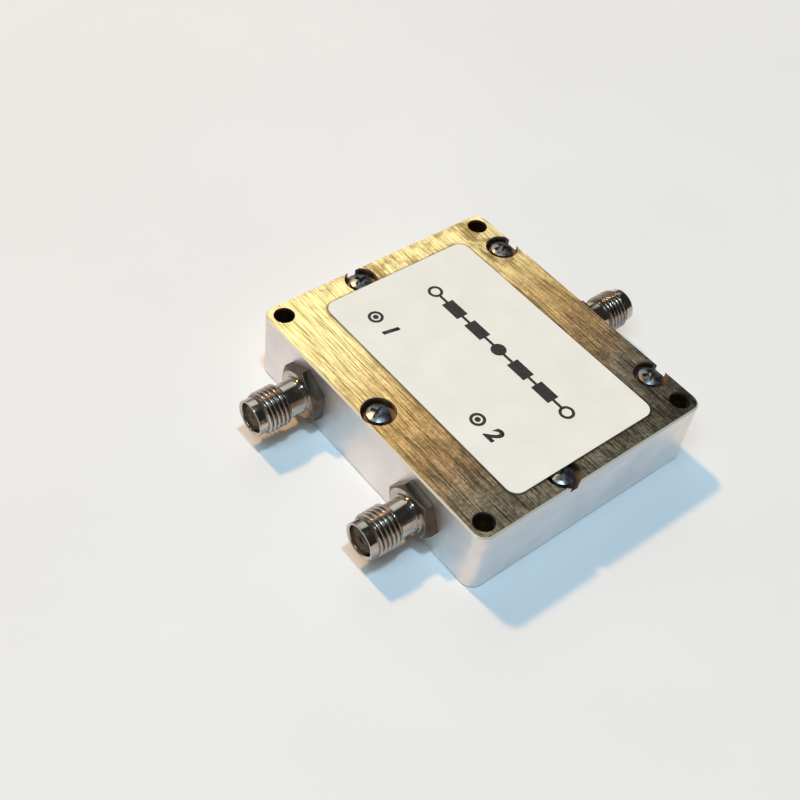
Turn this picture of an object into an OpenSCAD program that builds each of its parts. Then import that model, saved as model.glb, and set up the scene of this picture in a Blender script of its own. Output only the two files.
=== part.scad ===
// Two-way coaxial power splitter: a milled box with a screwed lid, a divider board in its pocket
// and three coaxial jacks with quarter-inch threads.
// Origin in the middle of the base, +Z up, +Y towards the input jack, all sizes in millimetres.

/* [Box] */
// Length of the box, along the wall that carries the outputs
box_l = 50; // [46:1:64]
// Width of the box, from the output wall to the input wall
box_w = 43; // [41:1:60]
// Height of the housing up to the seam
housing_h = 9.7; // [9.4:0.1:14]
// Thickness of the lid
lid_t = 1.8; // [1.6:0.1:3]
// Radius of the upright corners
corner_r = 2; // [1:0.25:3]
// Bevel along the lid's upper edge and the housing's lower edge
edge_bevel = 0.25; // [0.1:0.05:0.5]
// Thickness of the walls round the pocket
wall = 5; // [4.5:0.25:6]
// Radius that the cutter leaves in the pocket's upright corners
pocket_r = 1.5; // [0.5:0.25:3]

/* [Mounting holes] */
// Diameter of the four holes through lid and housing
mount_d = 3.2; // [2.2:0.1:3.6]
// Distance of the mounting holes' axes from the box's edges
mount_inset = 2.5; // [2.2:0.1:2.8]

/* [Screws] */
// Thread diameter of the small screws
screw_d = 2; // [1.6:0.1:2.2]
// Diameter of a screw's head
head_d = 3.4; // [3.2:0.1:4.2]
// Height of a screw's head
head_h = 1.1; // [0.9:0.05:1.2]
// Radius of the dome on a screw's head
dome_r = 4.4; // [2.6:0.1:9]
// Tip-to-tip size of the cross recess
cross_l = 2.4; // [1.6:0.1:2.6]
// Width of the arms of the cross recess
cross_w = 0.65; // [0.3:0.05:0.8]
// Depth of the cross recess below the top of the dome
cross_depth = 0.6; // [0.3:0.05:0.8]
// Radial gap round a thread in its tapped hole
thread_gap = 0.04; // [0.02:0.01:0.1]
// Radial gap round a screw in a clearance hole
clearance = 0.2; // [0.1:0.05:0.4]
// Depth of a tapped hole beyond the screw's tip
tap_spare = 0.7; // [0.3:0.1:1]

/* [Lid screws] */
// Length of a lid screw under its head
lid_screw_l = 6; // [4:0.5:8]
// Diameter of the counterbores in the lid
counterbore_d = 5.2; // [4.4:0.1:5.6]
// Depth of a screw's head below the lid's face
head_sink = 0.05; // [0.05:0.05:0.3]
// Distance of the two end screws from the lid's short edges
end_screw_inset = 2.5; // [1.9:0.05:2.6]
// Distance of the two end screws from the middle, towards the outputs
end_screw_y = 4.7; // [0:0.1:10]
// Distance of the screw on the output side from the lid's long edge
front_screw_inset = 2.65; // [1.9:0.05:3]
// Distance of the two screws on the input side from the lid's long edge
side_screw_inset = 2.45; // [1.9:0.05:2.6]
// Distance of the two screws on the input side from the middle
side_screw_x = 16.5; // [10:0.5:17]
// Turn of the cross in each lid screw, in the order of their places
lid_screw_turn = [15, 40, 25, 70, 55]; // [0:5:90]

/* [Label] */
// Length of the label
label_l = 42.8; // [30:0.1:44]
// Width of the label
label_w = 27.3; // [16:0.1:30]
// Thickness of the label
label_t = 0.15; // [0.05:0.05:0.3]
// Radius of the label's corners
label_r = 1.8; // [1:0.1:5]
// Shift of the label towards the input
label_shift = 0.6; // [-1:0.1:1]
// Shift of the label towards output 2
label_shift_x = 0.5; // [-1:0.1:1]

/* [Jacks] */
// Height of the jacks' axes above the base
jack_z = 5.7; // [5.4:0.1:6.2]
// Distance between the two output jacks
output_pitch = 25.6; // [20:0.2:27]
// Reach of a jack beyond its wall
jack_l = 10; // [8:0.5:14]
// Major diameter of the jacks' threads
thread_d = 6.35; // [5.8:0.05:6.6]
// Length of the outer thread
thread_l = 4.2; // [2:0.1:5]
// Diameter of the plain collar in front of the thread
collar_d = 5.5; // [5.2:0.05:5.7]
// Length of the collar
collar_l = 1.25; // [0.5:0.05:2]
// Diameter of the neck behind the thread
neck_d = 5.3; // [4.8:0.05:5.6]
// Width of the hexagon across its flats
hex_af = 8; // [7:0.1:9]
// Thickness of the hexagon
hex_t = 1.8; // [1.2:0.1:3]
// How far the turned bevel cuts into the hexagon's outer face at its flats
hex_bevel = 0.2; // [0.1:0.05:0.4]
// Angle between that bevel and the face
hex_bevel_angle = 30; // [20:1:40]
// Turn of the hexagons of output 1, output 2 and the input
hex_turn = [27, -8, 15]; // [-30:1:30]
// Diameter of the shoulder between hexagon and neck
shoulder_d = 6; // [5.7:0.1:6.8]
// Length of the shoulder
shoulder_l = 0.3; // [0.1:0.1:0.8]
// Diameter of the mating bore
mating_d = 4.6; // [4.4:0.05:4.9]
// Depth of the mating bore
mating_depth = 1.9; // [1.2:0.1:2.6]
// Bevel at the mouth of the mating bore
mouth_bevel = 0.2; // [0.05:0.05:0.25]

/* [Jack inserts] */
// Diameter of the insulator
insulator_d = 4.1; // [3.6:0.05:4.3]
// Diameter of the centre contact and its solder tail
contact_d = 1.27; // [1.1:0.01:1.4]
// Diameter of the contact's socket
socket_d = 0.94; // [0.8:0.01:1]
// Depth of the contact's socket
socket_depth = 2.6; // [1.5:0.1:4]
// Width of the slots that make the socket springy
slot_w = 0.2; // [0.1:0.05:0.3]
// Length of the slots in the socket
slot_l = 1.8; // [1:0.1:2.4]
// Length of the solder tail inside the pocket
tail_l = 2.4; // [1.6:0.1:3]
// Radial gap round the insulator and round the contact
insert_gap = 0.02; // [0.01:0.01:0.05]

/* [Board] */
// Thickness of the laminate
board_t = 0.8; // [0.5:0.1:1]
// Gap between the board and the pocket's walls
board_gap = 0.3; // [0.1:0.05:0.5]
// Thickness of the copper pattern
copper_t = 0.1; // [0.05:0.05:0.2]
// Distance of the board's screws from the board's edges
board_screw_inset = 3; // [2.6:0.1:3.2]
// Length of thread that the board's screws have in the floor
board_screw_grip = 2.4; // [1.6:0.1:2.6]

/* [Divider] */
// Width of the input and output lines
feed_w = 1.5; // [1:0.1:2]
// Length of the input line from the board's edge to the fork
feed_l = 4.8; // [4:0.1:5.4]
// Bare laminate between the board's edge and a solder land
land_margin = 0.3; // [0.2:0.05:0.5]
// Length of the solder lands under the tails
land_l = 2.4; // [2.2:0.1:3]
// Width of the solder lands under the tails
land_w = 2.4; // [2.2:0.1:3]
// Widths of the arms in the four sections, from the fork to the outputs
arm_w = [0.5, 0.7, 0.9, 1.2]; // [0.4:0.05:1.4]
// Reach of the hairpin arms from the board's middle line
arm_reach = 11; // [8:0.5:12]
// Distance between the two legs of a hairpin
hairpin_gap = 2.6; // [2:0.1:2.8]
// Distance from one section to the next
section_pitch = 4.6; // [4.4:0.1:4.8]
// Gap between the two arms where a resistor bridges them
arm_gap = 1; // [0.6:0.1:1.2]

/* [Resistors and solder] */
// Length of a chip resistor
chip_l = 2; // [1.8:0.1:2.4]
// Width of a chip resistor
chip_w = 1.25; // [0.8:0.05:1.4]
// Thickness of a chip resistor's ceramic
chip_t = 0.5; // [0.3:0.05:0.7]
// Length of a chip resistor's metal ends
chip_end_l = 0.4; // [0.2:0.05:0.5]
// Thickness of the metal on a chip resistor's ends
chip_skin = 0.05; // [0.03:0.01:0.1]
// Diameter of a solder joint at its foot
solder_d = 2.1; // [1.8:0.1:2.2]
// Diameter of a solder joint at its top
solder_top_d = 1.6; // [1.5:0.05:1.8]
// Height of a solder joint
solder_h = 0.9; // [0.5:0.05:1.2]
// Thickness of the solder under a tail
solder_film = 0.1; // [0.05:0.05:0.2]

/* [Hidden] */
$fn = 96;

// Overshoot of a cutting tool past the face that it leaves or enters
cut = 1;
box_h = housing_h + lid_t;
pocket_l = box_l - 2 * wall;
pocket_w = box_w - 2 * wall;
board_l = pocket_l - 2 * board_gap;
board_w = pocket_w - 2 * board_gap;

// The stack from the jacks' axes down to the pocket's floor
copper_top = jack_z - contact_d / 2 - solder_film;
board_top = copper_top - copper_t;
floor_z = board_top - board_t;

// Screw seats, in height
lid_seat = box_h - head_sink - head_h;
board_screw_l = board_t + board_screw_grip;

// Screw and hole places, in plan
mount_places = [
    for (sx = [-1, 1], sy = [-1, 1])
        [sx * (box_l / 2 - mount_inset), sy * (box_w / 2 - mount_inset)]
];
end_screw_x = box_l / 2 - end_screw_inset;
front_screw_y = box_w / 2 - front_screw_inset;
side_screw_y = box_w / 2 - side_screw_inset;
lid_screw_places = [
    [-end_screw_x, -end_screw_y],
    [end_screw_x, -end_screw_y],
    [0, -front_screw_y],
    [-side_screw_x, side_screw_y],
    [side_screw_x, side_screw_y],
];
output_x = output_pitch / 2;
board_screw_y = board_w / 2 - board_screw_inset;
board_corner_x = board_l / 2 - board_screw_inset;
beside_land_x = output_x + land_w / 2 + clearance + head_d / 2;
board_screw_places = [
    [-beside_land_x, -board_screw_y],
    [beside_land_x, -board_screw_y],
    [-board_corner_x, board_screw_y],
    [board_corner_x, board_screw_y],
];

// The jacks in the order output 1, output 2, input: place along X, and the wall as the sign of Y
jack_x = [-output_x, output_x, 0];
jack_side = [-1, -1, 1];
neck_end = jack_l - collar_l - thread_l;
mating_floor = jack_l - mating_depth;

// The divider's stations along Y
land_start = board_w / 2 - land_margin;
fork_y = board_w / 2 - feed_l;
sections = len(arm_w);
function section_y(k) = fork_y - k * section_pitch;
function node_x(k) = (arm_gap + arm_w[k]) / 2;
function node_top(k) = section_y(k) - hairpin_gap;
output_line_y = section_y(sections) - feed_w / 2;

// Rectangle with rounded corners, centred
module rounded_rect(l, w, r) {
    square([l - 2 * r, w], center = true);
    square([l, w - 2 * r], center = true);
    for (sx = [-1, 1], sy = [-1, 1]) {
        translate([sx * (l / 2 - r), sy * (w / 2 - r)])
            circle(r);
    }
}

// Section of a plate with both upper edges bevelled
module bevelled_section(w, h, bevel) {
    polygon([
        [-w / 2, 0],
        [w / 2, 0],
        [w / 2, h - bevel],
        [w / 2 - bevel, h],
        [bevel - w / 2, h],
        [-w / 2, h - bevel],
    ]);
}

// Plate with round upright corners and a bevel all round its upper edge
module bevelled_plate(l, w, h, r, bevel) {
    rotate([90, 0, 90])
        linear_extrude(l - 2 * r, center = true)
            bevelled_section(w, h, bevel);
    rotate([90, 0, 0])
        linear_extrude(w - 2 * r, center = true)
            bevelled_section(l, h, bevel);
    for (sx = [-1, 1], sy = [-1, 1]) {
        translate([sx * (l / 2 - r), sy * (w / 2 - r)]) {
            cylinder(h - bevel, r = r);
            translate([0, 0, h - bevel])
                cylinder(bevel, r1 = r, r2 = r - bevel);
        }
    }
}

// Puts the children at each place of a list, in plan
module at_places(places) {
    for (place = places) {
        translate(place)
            children();
    }
}

// Puts the children on the wall where jack i stands, with +Z pointing out along its axis
module at_jack(i) {
    translate([jack_x[i], jack_side[i] * box_w / 2, jack_z])
        rotate([90, 0, jack_side[i] < 0 ? 0 : 180])
            children();
}

// Pan-head screw with its seat at z = 0 and its shank below
module pan_screw(shank_l) {
    difference() {
        union() {
            intersection() {
                cylinder(head_h, d = head_d);
                translate([0, 0, head_h - dome_r])
                    sphere(dome_r);
            }
            translate([0, 0, -shank_l])
                cylinder(shank_l, d = screw_d);
        }
        for (turn = [0, 90]) {
            rotate(turn)
                translate([-cross_l / 2, -cross_w / 2, head_h - cross_depth])
                    cube([cross_l, cross_w, cross_depth + cut]);
        }
    }
}

// Strip of copper with square ends between two points that share an x or a y
module strip(from, to, w) {
    low = [min(from.x, to.x), min(from.y, to.y)];
    high = [max(from.x, to.x), max(from.y, to.y)];
    translate(low - [w / 2, w / 2])
        square(high - low + [w, w]);
}

// One arm of the divider, on the side that the sign gives
module divider_arm(side) {
    for (k = [0:sections - 1]) {
        w = arm_w[k];
        start_x = k == 0 ? 0 : side * node_x(k - 1);
        strip([start_x, section_y(k)], [side * arm_reach, section_y(k)], w);
        strip([side * arm_reach, section_y(k)], [side * arm_reach, node_top(k)], w);
        strip([side * arm_reach, node_top(k)], [side * node_x(k), node_top(k)], w);
        strip([side * node_x(k), node_top(k)], [side * node_x(k), section_y(k + 1)], w);
    }
    line_start_x = side * (arm_gap + feed_w) / 2;
    strip([line_start_x, output_line_y], [side * output_x, output_line_y], feed_w);
    strip([side * output_x, output_line_y], [side * output_x, land_w / 2 - land_start], feed_w);
}

// Solder land at the board's edge under a jack's tail, with the edge along +Y
module solder_land() {
    translate([-land_w / 2, land_start - land_l])
        square([land_w, land_l]);
}

module housing() {
    color("gainsboro")
        difference() {
            translate([0, 0, housing_h])
                mirror([0, 0, 1])
                    bevelled_plate(box_l, box_w, housing_h, corner_r, edge_bevel);
            translate([0, 0, floor_z])
                linear_extrude(box_h)
                    rounded_rect(pocket_l, pocket_w, pocket_r);
            at_places(mount_places)
                translate([0, 0, -cut])
                    cylinder(box_h + 2 * cut, d = mount_d);
            at_places(lid_screw_places)
                translate([0, 0, lid_seat - lid_screw_l - tap_spare])
                    cylinder(box_h, r = screw_d / 2 + thread_gap);
            at_places(board_screw_places)
                translate([0, 0, board_top - board_screw_l - tap_spare])
                    cylinder(box_h, r = screw_d / 2 + thread_gap);
            for (i = [0:2]) {
                at_jack(i)
                    translate([0, 0, -wall - cut])
                        cylinder(wall + 2 * cut, r = thread_d / 2 + thread_gap);
            }
        }
}

module lid() {
    color("tan")
        difference() {
            translate([0, 0, housing_h])
                bevelled_plate(box_l, box_w, lid_t, corner_r, edge_bevel);
            at_places(mount_places)
                cylinder(box_h + cut, d = mount_d);
            at_places(lid_screw_places) {
                cylinder(box_h + cut, r = screw_d / 2 + clearance);
                translate([0, 0, lid_seat])
                    cylinder(lid_t, d = counterbore_d);
            }
        }
}

module lid_screws() {
    color("slategray")
        for (i = [0 : len(lid_screw_places) - 1]) {
            translate([lid_screw_places[i].x, lid_screw_places[i].y, lid_seat])
                rotate(lid_screw_turn[i])
                    pan_screw(lid_screw_l);
        }
}

module label() {
    color("white")
        translate([label_shift_x, label_shift, box_h])
            linear_extrude(label_t)
                rounded_rect(label_l, label_w, label_r);
}

module circuit_board() {
    color("seagreen")
        difference() {
            translate([0, 0, floor_z])
                linear_extrude(board_t)
                    rounded_rect(board_l, board_w, pocket_r);
            at_places(board_screw_places)
                cylinder(box_h, r = screw_d / 2 + clearance);
        }
}

module microstrip() {
    color("peru")
        translate([0, 0, board_top])
            linear_extrude(copper_t) {
                strip([0, land_start - land_w / 2], [0, fork_y], feed_w);
                divider_arm(-1);
                divider_arm(1);
                for (i = [0:2]) {
                    translate([jack_x[i], 0])
                        mirror([0, jack_side[i] < 0 ? 1 : 0])
                            solder_land();
                }
            }
}

// Chip resistor across the arms at the end of section k
module isolation_resistor(k) {
    body_l = chip_l - 2 * chip_skin;
    end_t = chip_t + 2 * chip_skin;
    middle_y = (node_top(k) + section_y(k + 1)) / 2;
    color("dimgray")
        translate([0, middle_y, copper_top]) {
            translate([-body_l / 2, -chip_w / 2, chip_skin])
                cube([body_l, chip_w, chip_t]);
            for (side = [0, 1]) {
                mirror([side, 0])
                    translate([chip_l / 2 - chip_end_l, -chip_w / 2, 0])
                        cube([chip_end_l, chip_w, end_t]);
            }
        }
}

module board_screws() {
    color("silver")
        at_places(board_screw_places)
            translate([0, 0, board_top])
                pan_screw(board_screw_l);
}

module solder_joints() {
    joint_depth = wall + board_gap + land_margin + land_l / 2;
    color("lightgray")
        for (i = [0:2]) {
            difference() {
                translate([jack_x[i], jack_side[i] * (box_w / 2 - joint_depth), copper_top])
                    cylinder(solder_h, d1 = solder_d, d2 = solder_top_d);
                at_jack(i)
                    translate([0, 0, -wall - tail_l - insert_gap])
                        cylinder(wall + tail_l, r = contact_d / 2 + insert_gap);
            }
        }
}

// Turned body: threaded shank in the wall, hexagon, shoulder, neck, thread, collar and mating bore
module jack_body(i) {
    bore_r = insulator_d / 2 + insert_gap;
    thread_bevel = (thread_d - collar_d) / 2;
    face_r = hex_af / 2 - hex_bevel;
    color("darkgray")
        at_jack(i) {
            rotate_extrude()
                polygon([
                    [bore_r, -wall],
                    [thread_d / 2, -wall],
                    [thread_d / 2, 0],
                    [shoulder_d / 2, 0],
                    [shoulder_d / 2, hex_t + shoulder_l],
                    [neck_d / 2, hex_t + shoulder_l],
                    [neck_d / 2, neck_end],
                    [thread_d / 2, neck_end + thread_bevel],
                    [thread_d / 2, jack_l - collar_l - thread_bevel],
                    [collar_d / 2, jack_l - collar_l],
                    [collar_d / 2, jack_l],
                    [mating_d / 2 + mouth_bevel, jack_l],
                    [mating_d / 2, jack_l - mouth_bevel],
                    [mating_d / 2, mating_floor],
                    [bore_r, mating_floor],
                ]);
            difference() {
                intersection() {
                    rotate(hex_turn[i])
                        cylinder(hex_t, d = hex_af / cos(30), $fn = 6);
                    cylinder(hex_t, r1 = face_r + hex_t / tan(hex_bevel_angle), r2 = face_r);
                }
                translate([0, 0, -cut])
                    cylinder(hex_t + 2 * cut, r = bore_r);
            }
        }
}

module jack_dielectric(i) {
    length = wall + mating_floor;
    color("ivory")
        at_jack(i)
            translate([0, 0, -wall])
                difference() {
                    cylinder(length, d = insulator_d);
                    translate([0, 0, -cut])
                        cylinder(length + 2 * cut, r = contact_d / 2 + insert_gap);
                }
}

// Contact pin: solder tail at the back, slotted socket flush with the insulator's face
module jack_contact(i) {
    length = tail_l + wall + mating_floor;
    color("goldenrod")
        at_jack(i)
            translate([0, 0, -wall - tail_l])
                difference() {
                    cylinder(length, d = contact_d);
                    translate([0, 0, length - socket_depth])
                        cylinder(socket_depth + cut, d = socket_d);
                    for (turn = [0, 90]) {
                        rotate(turn)
                            translate([-contact_d, -slot_w / 2, length - slot_l])
                                cube([2 * contact_d, slot_w, slot_l + cut]);
                    }
                }
}

housing();
lid();
lid_screws();
label();
circuit_board();
microstrip();
isolation_resistor(0);  // isolation_resistor_1
isolation_resistor(1);  // isolation_resistor_2
isolation_resistor(2);  // isolation_resistor_3
isolation_resistor(3);  // isolation_resistor_4
board_screws();
solder_joints();
jack_body(0);  // output_1_jack_body
jack_dielectric(0);  // output_1_jack_dielectric
jack_contact(0);  // output_1_jack_contact
jack_body(1);  // output_2_jack_body
jack_dielectric(1);  // output_2_jack_dielectric
jack_contact(1);  // output_2_jack_contact
jack_body(2);  // input_jack_body
jack_dielectric(2);  // input_jack_dielectric
jack_contact(2);  // input_jack_contact
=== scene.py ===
import math
import bmesh
import bpy
from mathutils import Matrix, Vector


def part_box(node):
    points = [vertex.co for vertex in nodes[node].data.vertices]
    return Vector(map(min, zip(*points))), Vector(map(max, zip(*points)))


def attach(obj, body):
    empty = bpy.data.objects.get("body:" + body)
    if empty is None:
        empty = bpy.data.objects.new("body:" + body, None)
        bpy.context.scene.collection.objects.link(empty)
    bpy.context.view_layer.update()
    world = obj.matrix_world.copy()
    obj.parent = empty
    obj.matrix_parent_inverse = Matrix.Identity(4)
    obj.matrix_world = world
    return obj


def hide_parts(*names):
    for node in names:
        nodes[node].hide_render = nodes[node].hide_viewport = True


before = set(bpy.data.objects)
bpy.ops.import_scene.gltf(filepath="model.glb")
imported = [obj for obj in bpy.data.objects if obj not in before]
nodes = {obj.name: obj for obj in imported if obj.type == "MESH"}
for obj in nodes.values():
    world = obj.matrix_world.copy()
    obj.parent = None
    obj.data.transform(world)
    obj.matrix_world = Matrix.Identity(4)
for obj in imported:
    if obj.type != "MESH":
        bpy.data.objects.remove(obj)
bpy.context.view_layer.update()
mm = 0.001
print("frame loaded:", len(nodes), "solids")


def toLinear(hexColour):
    parts = [int(hexColour[i:i + 2], 16) / 255 for i in (1, 3, 5)]
    return [p / 12.92 if p <= 0.04045 else ((p + 0.055) / 1.055) ** 2.4 for p in parts] + [1.0]


# adds one node: settings are its own properties, inputs are values or sockets to link
def addNode(tree, kind, settings={}, inputs={}):
    node = tree.nodes.new(kind)
    for name, value in settings.items():
        setattr(node, name, value)
    for socket, value in inputs.items():
        if isinstance(value, bpy.types.NodeSocket):
            tree.links.new(value, node.inputs[socket])
        else:
            node.inputs[socket].default_value = value
    return node


# an empty material with its shader, and the object's own coordinates in millimetres
def startMaterial(name):
    material = bpy.data.materials.new(name)
    material.use_nodes = True
    tree = material.node_tree
    shader = tree.nodes["Principled BSDF"]
    place = addNode(tree, "ShaderNodeTexCoord")
    millimetres = addNode(tree, "ShaderNodeVectorMath", {"operation": "SCALE"},
                          {0: place.outputs["Object"], "Scale": 1000.0})
    return material, tree, shader, millimetres.outputs[0]


# Finishes

# Milled aluminium: satin, almost white, with faint level lines from the cutter's passes, and painted shade in
# the corner holes
def milledAluminium():
    look = {"pale": "#F0E8E5", "dull": "#E0D9D6", "roughness": (0.34, 0.46),
            "passHeight": 0.22, "passLength": 20.0, "cloudsPerMm": 0.18, "metallic": 1.0,
            "holeShade": "#8E7A4E", "holePlace": (22.5, 19.0, 0.0), "holeRadius": 1.6}
    material, tree, shader, at = startMaterial("milledAluminium")
    passes = addNode(tree, "ShaderNodeVectorMath", {"operation": "MULTIPLY"},
                     {0: at, 1: (1 / look["passLength"], 1 / look["passLength"], 1 / look["passHeight"])})
    passNoise = addNode(tree, "ShaderNodeTexNoise", {},
                        {"Vector": passes.outputs[0], "Scale": 1.0, "Detail": 3.0})
    cloud = addNode(tree, "ShaderNodeTexNoise", {},
                    {"Vector": at, "Scale": look["cloudsPerMm"], "Detail": 4.0})
    share = addNode(tree, "ShaderNodeMapRange", {},
                    {"Value": cloud.outputs["Fac"], "From Min": 0.3, "From Max": 0.7})
    colour = addNode(tree, "ShaderNodeMix", {"data_type": "RGBA"},
                     {0: share.outputs[0], 6: toLinear(look["dull"]), 7: toLinear(look["pale"])})
    # painted shade: the corner holes' walls are darkened to olive brown
    folded = addNode(tree, "ShaderNodeVectorMath", {"operation": "ABSOLUTE"}, {0: at})
    offset = addNode(tree, "ShaderNodeVectorMath", {"operation": "SUBTRACT"},
                     {0: folded.outputs[0], 1: look["holePlace"]})
    level = addNode(tree, "ShaderNodeVectorMath", {"operation": "MULTIPLY"},
                    {0: offset.outputs[0], 1: (1.0, 1.0, 0.0)})
    away = addNode(tree, "ShaderNodeVectorMath", {"operation": "LENGTH"}, {0: level.outputs[0]})
    inHole = addNode(tree, "ShaderNodeMapRange", {},
                     {"Value": away.outputs["Value"], "From Min": look["holeRadius"] + 0.06,
                      "From Max": look["holeRadius"] + 0.02})
    holeShaded = addNode(tree, "ShaderNodeMix", {"data_type": "RGBA"},
                     {0: inHole.outputs[0], 6: colour.outputs[2], 7: toLinear(look["holeShade"])})
    rough = addNode(tree, "ShaderNodeMapRange", {},
                    {"Value": passNoise.outputs["Fac"], "From Min": 0.3, "From Max": 0.7,
                     "To Min": look["roughness"][0], "To Max": look["roughness"][1]})
    bump = addNode(tree, "ShaderNodeBump", {},
                   {"Height": passNoise.outputs["Fac"], "Strength": 0.25, "Distance": 0.00002})
    shader.inputs["Metallic"].default_value = look["metallic"]
    tree.links.new(holeShaded.outputs[2], shader.inputs["Base Color"])
    tree.links.new(rough.outputs[0], shader.inputs["Roughness"])
    tree.links.new(bump.outputs[0], shader.inputs["Normal"])
    return material


# Brushed aluminium: straight grain along the lid's length, so its shine runs across the grain, with painted
# highlight and shade across the top, painted shade in the screws' counterbores, and a dark line along the
# label's edge, partly dirt and partly painted shadow
def brushedAluminium():
    look = {"sheenTones": ((0.0, "#CDDCD2"), (0.2, "#CADACE"), (0.43, "#C0BBA0"), (0.62, "#A69C8A"),
                      (0.75, "#9AA09F"), (0.85, "#999D98"), (1.0, "#8C8D84")),
            "sheenSlant": (0.8, 0.15, 0.0), "sheenFrom": -20.0, "sheenTo": 24.0, "drift": 14.0,
            "pale": "#FFFFFF", "grain": "#8F9A7C", "deepGrain": "#3A352B",
            "edge": "#E8E0DD", "bevel": "#DDD6C2", "dirtAndShadow": "#2A2219",
            "recess": "#A7B0B6", "shadedRecess": "#8A5F3A", "shadedBoreFloor": "#5C5148",
            "mottle": 2.4, "mottleRange": (0.68, 1.32), "speckle": 0.45, "speckleRange": (0.6, 1.4),
            "cornerShadePlace": (24.0, 21.0, 11.5), "cornerShadeReach": (2.0, 15.0), "darkestCornerShade": 0.46,
            "stain": "#8C6F45", "stainSize": 3.0, "stainStrength": 0.72,
            "stainPlace": (-19.5, 18.0, 11.5), "stainReach": (4.0, 12.0), "stainElsewhere": 0.14,
            "stainEndX": (-15.0, -20.0), "stainEndY": (-17.0, -11.0), "stainEndShare": 0.85,
            # real grain is finer than a pixel, so it is drawn this coarse
            "grainLength": 5.0, "grainWidth": 0.14, "bandLength": 5.0, "bandWidth": 0.8,
            "roughness": (0.45, 0.55), "anisotropy": 0.9, "sideRoughness": 0.4,
            "outlineCore": (23.0, 19.5, 100.0), "outlineCorner": 2.0, "top": 11.5, "labelCorner": 1.8}
    labelLow, labelHigh = (Vector(c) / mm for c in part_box("label"))
    labelMiddle = (labelLow + labelHigh) / 2
    labelCore = (labelHigh - labelLow) / 2 - Vector((look["labelCorner"], look["labelCorner"], -100.0))
    material, tree, shader, at = startMaterial("brushedAluminium")
    grainAt = addNode(tree, "ShaderNodeVectorMath", {"operation": "MULTIPLY"},
                      {0: at, 1: (1 / look["grainLength"], 1 / look["grainWidth"], 0.5)})
    grain = addNode(tree, "ShaderNodeTexNoise", {},
                    {"Vector": grainAt.outputs[0], "Scale": 1.0, "Detail": 4.0, "Roughness": 0.6})
    bandAt = addNode(tree, "ShaderNodeVectorMath", {"operation": "MULTIPLY"},
                     {0: at, 1: (1 / look["bandLength"], 1 / look["bandWidth"], 0.5)})
    band = addNode(tree, "ShaderNodeTexNoise", {}, {"Vector": bandAt.outputs[0], "Scale": 1.0, "Detail": 3.0})
    grainShare = addNode(tree, "ShaderNodeMapRange", {},
                         {"Value": grain.outputs["Fac"], "From Min": 0.36, "From Max": 0.56})
    # painted highlight and shade: the colour runs from a pale corner, where the lamp's shine falls, to a dull
    # one, unevenly, and its grain grows darker on the way
    sheenSlant = addNode(tree, "ShaderNodeVectorMath", {"operation": "DOT_PRODUCT"}, {0: at, 1: look["sheenSlant"]})
    uneven = addNode(tree, "ShaderNodeMapRange", {},
                     {"Value": band.outputs["Fac"],
                      "To Min": -look["drift"] / 2, "To Max": look["drift"] / 2})
    along = addNode(tree, "ShaderNodeMath", {"operation": "ADD"},
                    {0: sheenSlant.outputs["Value"], 1: uneven.outputs[0]})
    sheenShare = addNode(tree, "ShaderNodeMapRange", {},
                         {"Value": along.outputs[0],
                          "From Min": look["sheenFrom"], "From Max": look["sheenTo"]})
    grainTone = addNode(tree, "ShaderNodeMix", {"data_type": "RGBA"},
                        {0: sheenShare.outputs[0],
                         6: toLinear(look["grain"]), 7: toLinear(look["deepGrain"])})
    tint = addNode(tree, "ShaderNodeMix", {"data_type": "RGBA"},
                   {0: grainShare.outputs[0], 6: grainTone.outputs[2], 7: toLinear(look["pale"])})
    sheenRamp = addNode(tree, "ShaderNodeValToRGB", {}, {"Fac": sheenShare.outputs[0]})
    while len(sheenRamp.color_ramp.elements) < len(look["sheenTones"]):
        sheenRamp.color_ramp.elements.new(0.5)
    for stop, (share, hexColour) in zip(sheenRamp.color_ramp.elements, look["sheenTones"]):
        stop.position = share
        stop.color = toLinear(hexColour)
    clean = addNode(tree, "ShaderNodeMix", {"data_type": "RGBA", "blend_type": "MULTIPLY"},
                    {0: 1.0, 6: sheenRamp.outputs["Color"], 7: tint.outputs[2]})
    # soft mottling, stronger towards the painted dull end, and painted shade darkening the far corner
    cloud = addNode(tree, "ShaderNodeTexNoise", {},
                    {"Vector": at, "Scale": 1 / look["mottle"], "Detail": 5.0})
    cloudTone = addNode(tree, "ShaderNodeMapRange", {},
                        {"Value": cloud.outputs["Fac"], "From Min": 0.35, "From Max": 0.65,
                         "To Min": look["mottleRange"][0], "To Max": look["mottleRange"][1]})
    speckle = addNode(tree, "ShaderNodeTexNoise", {},
                      {"Vector": at, "Scale": 1 / look["speckle"], "Detail": 2.0})
    speckleTone = addNode(tree, "ShaderNodeMapRange", {},
                          {"Value": speckle.outputs["Fac"], "From Min": 0.35, "From Max": 0.65,
                           "To Min": look["speckleRange"][0], "To Max": look["speckleRange"][1]})
    patchy = addNode(tree, "ShaderNodeMath", {"operation": "MULTIPLY"},
                     {0: cloudTone.outputs[0], 1: speckleTone.outputs[0]})
    cornerShadeAway = addNode(tree, "ShaderNodeVectorMath", {"operation": "DISTANCE"}, {0: at, 1: look["cornerShadePlace"]})
    cornerShade = addNode(tree, "ShaderNodeMapRange", {"interpolation_type": "SMOOTHSTEP"},
                       {"Value": cornerShadeAway.outputs["Value"], "From Min": look["cornerShadeReach"][0],
                        "From Max": look["cornerShadeReach"][1], "To Min": look["darkestCornerShade"]})
    shaded = addNode(tree, "ShaderNodeMath", {"operation": "MULTIPLY"},
                     {0: patchy.outputs[0], 1: cornerShade.outputs[0]})
    mottled = addNode(tree, "ShaderNodeMix", {"data_type": "RGBA", "blend_type": "MULTIPLY"},
                      {0: sheenShare.outputs[0], 6: clean.outputs[2], 7: shaded.outputs[0]})
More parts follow.
